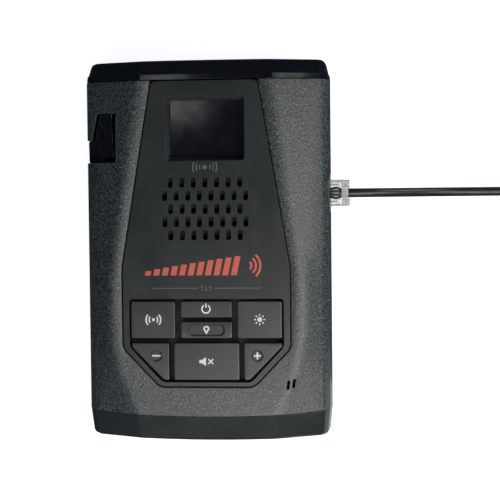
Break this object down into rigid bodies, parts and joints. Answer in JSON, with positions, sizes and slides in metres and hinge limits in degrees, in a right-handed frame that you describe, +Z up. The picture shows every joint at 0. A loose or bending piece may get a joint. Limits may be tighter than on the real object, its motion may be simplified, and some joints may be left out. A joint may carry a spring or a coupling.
{
  "type": "radar detector",
  "caption": "Windscreen radar detector with keypad, speaker grille, magnetic-mount pocket, release button and plugged-in 12 V power lead stored in a tied coil.",
  "frame": {"origin": "on the resting surface, under the middle of the case without its power lead", "axes": "+Z up, +Y along the case towards the front lens, +X towards the power socket"},
  "size_m": [0.2396, 0.1432, 0.0356],
  "materials": {
    "textured_case": "fine spark-eroded grain, satin",
    "smooth_case": "smooth satin",
    "infrared_black": "gloss, infrared-clear black",
    "key_plastic": "satin, light printed symbols",
    "silicone_black": "matt",
    "circuit_board": "solder-resist green",
    "die_cast": "as cast",
    "tinned_steel": "tinned",
    "screw_steel": "black oxide",
    "gold_plate": "gold flash",
    "patch_ceramic": "unglazed",
    "cone_paper": "pressed black paper",
    "foam_black": "closed-cell foam",
    "black_plastic": "moulded, fine grain",
    "clear_plastic": "clear polycarbonate",
    "cord_jacket": "satin PVC",
    "label_film": "matt film, blank"
  },
  "bodies": {
    "detector": {"top_cover": "textured_case", "bottom_case": "textured_case", "front_lens": "infrared_black", "rear_bezel": "smooth_case", "display_lens": "infrared_black", "display_module": "black_plastic", "control_panel": "smooth_case", "mount_socket": "infrared_black", "mount_plate": "screw_steel", "speaker_gasket": "foam_black", "speaker_frame": "tinned_steel", "speaker_cone": "cone_paper", "speaker_magnet": "tinned_steel", "key_mat": "silicone_black", "switch_board": "circuit_board", "main_board": "circuit_board", "front_horn": "die_cast", "rear_horn": "die_cast", "receiver_shield": "tinned_steel", "gps_antenna": "patch_ceramic", "front_laser_sensor": "infrared_black", "rear_laser_sensor": "infrared_black", "power_jack": "black_plastic", "usb_socket": "tinned_steel", "audio_jack": "black_plastic", "rating_label": "label_film", "dome_sensitivity": "tinned_steel", "dome_power": "tinned_steel", "dome_mark": "tinned_steel", "dome_brightness": "tinned_steel", "dome_volume_down": "tinned_steel", "dome_mute": "tinned_steel", "dome_volume_up": "tinned_steel", "case_screw_1": "screw_steel", "case_screw_2": "screw_steel", "case_screw_3": "screw_steel", "case_screw_4": "screw_steel"},
    "release_button": {"release_button": "infrared_black"},
    "power_lead": {"plug_body": "clear_plastic", "plug_contacts": "gold_plate", "cord_tube": "cord_jacket", "cord_coil": "cord_jacket", "cord_tie": "silicone_black", "accessory_plug_body": "black_plastic"},
    "plug_latch": {"plug_latch": "clear_plastic"},
    "accessory_plug_tip": {"accessory_plug_tip": "tinned_steel"},
    "accessory_plug_contact_left": {"accessory_plug_contact_left": "tinned_steel"},
    "accessory_plug_contact_right": {"accessory_plug_contact_right": "tinned_steel"},
    "key_sensitivity": {"key_sensitivity": "key_plastic"},
    "key_power": {"key_power": "key_plastic"},
    "key_mark": {"key_mark": "key_plastic"},
    "key_brightness": {"key_brightness": "key_plastic"},
    "key_volume_down": {"key_volume_down": "key_plastic"},
    "key_mute": {"key_mute": "key_plastic"},
    "key_volume_up": {"key_volume_up": "key_plastic"}
  },
  "joints": [
    {"name": "key_sensitivity_press", "type": "slide", "parent": "detector", "child": "key_sensitivity", "axis": [0, 0, -1], "range_m": [0, 0.0007], "stiffness_N_per_m": 1000},
    {"name": "key_power_press", "type": "slide", "parent": "detector", "child": "key_power", "axis": [0, 0, -1], "range_m": [0, 0.0007], "stiffness_N_per_m": 1000},
    {"name": "key_mark_press", "type": "slide", "parent": "detector", "child": "key_mark", "axis": [0, 0, -1], "range_m": [0, 0.0007], "stiffness_N_per_m": 1000},
    {"name": "key_brightness_press", "type": "slide", "parent": "detector", "child": "key_brightness", "axis": [0, 0, -1], "range_m": [0, 0.0007], "stiffness_N_per_m": 1000},
    {"name": "key_volume_down_press", "type": "slide", "parent": "detector", "child": "key_volume_down", "axis": [0, 0, -1], "range_m": [0, 0.0007], "stiffness_N_per_m": 1000},
    {"name": "key_mute_press", "type": "slide", "parent": "detector", "child": "key_mute", "axis": [0, 0, -1], "range_m": [0, 0.0007], "stiffness_N_per_m": 1000},
    {"name": "key_volume_up_press", "type": "slide", "parent": "detector", "child": "key_volume_up", "axis": [0, 0, -1], "range_m": [0, 0.0007], "stiffness_N_per_m": 1000},
    {"name": "release_button_press", "type": "slide", "parent": "detector", "child": "release_button", "axis": [1, 0, 0], "range_m": [0, 0.0012], "stiffness_N_per_m": 1500},
    {"name": "power_plug_pull", "type": "slide", "parent": "detector", "child": "power_lead", "axis": [1, 0, 0], "range_m": [0, 0.016]},
    {"name": "plug_latch_flex", "type": "hinge", "parent": "power_lead", "child": "plug_latch", "pos_m": [0.037, 0.0202, 0.01105], "axis": [0, -1, 0], "range_deg": [0, 8], "stiffness_Nm_per_rad": 0.05},
    {"name": "accessory_tip_press", "type": "slide", "parent": "power_lead", "child": "accessory_plug_tip", "axis": [0, 1, 0], "range_m": [0, 0.0025], "stiffness_N_per_m": 1500},
    {"name": "accessory_contact_left_press", "type": "slide", "parent": "power_lead", "child": "accessory_plug_contact_left", "axis": [1, 0, 0], "range_m": [0, 0.0012], "stiffness_N_per_m": 2000},
    {"name": "accessory_contact_right_press", "type": "slide", "parent": "power_lead", "child": "accessory_plug_contact_right", "axis": [-1, 0, 0], "range_m": [0, 0.0012], "stiffness_N_per_m": 2000}
  ]
}
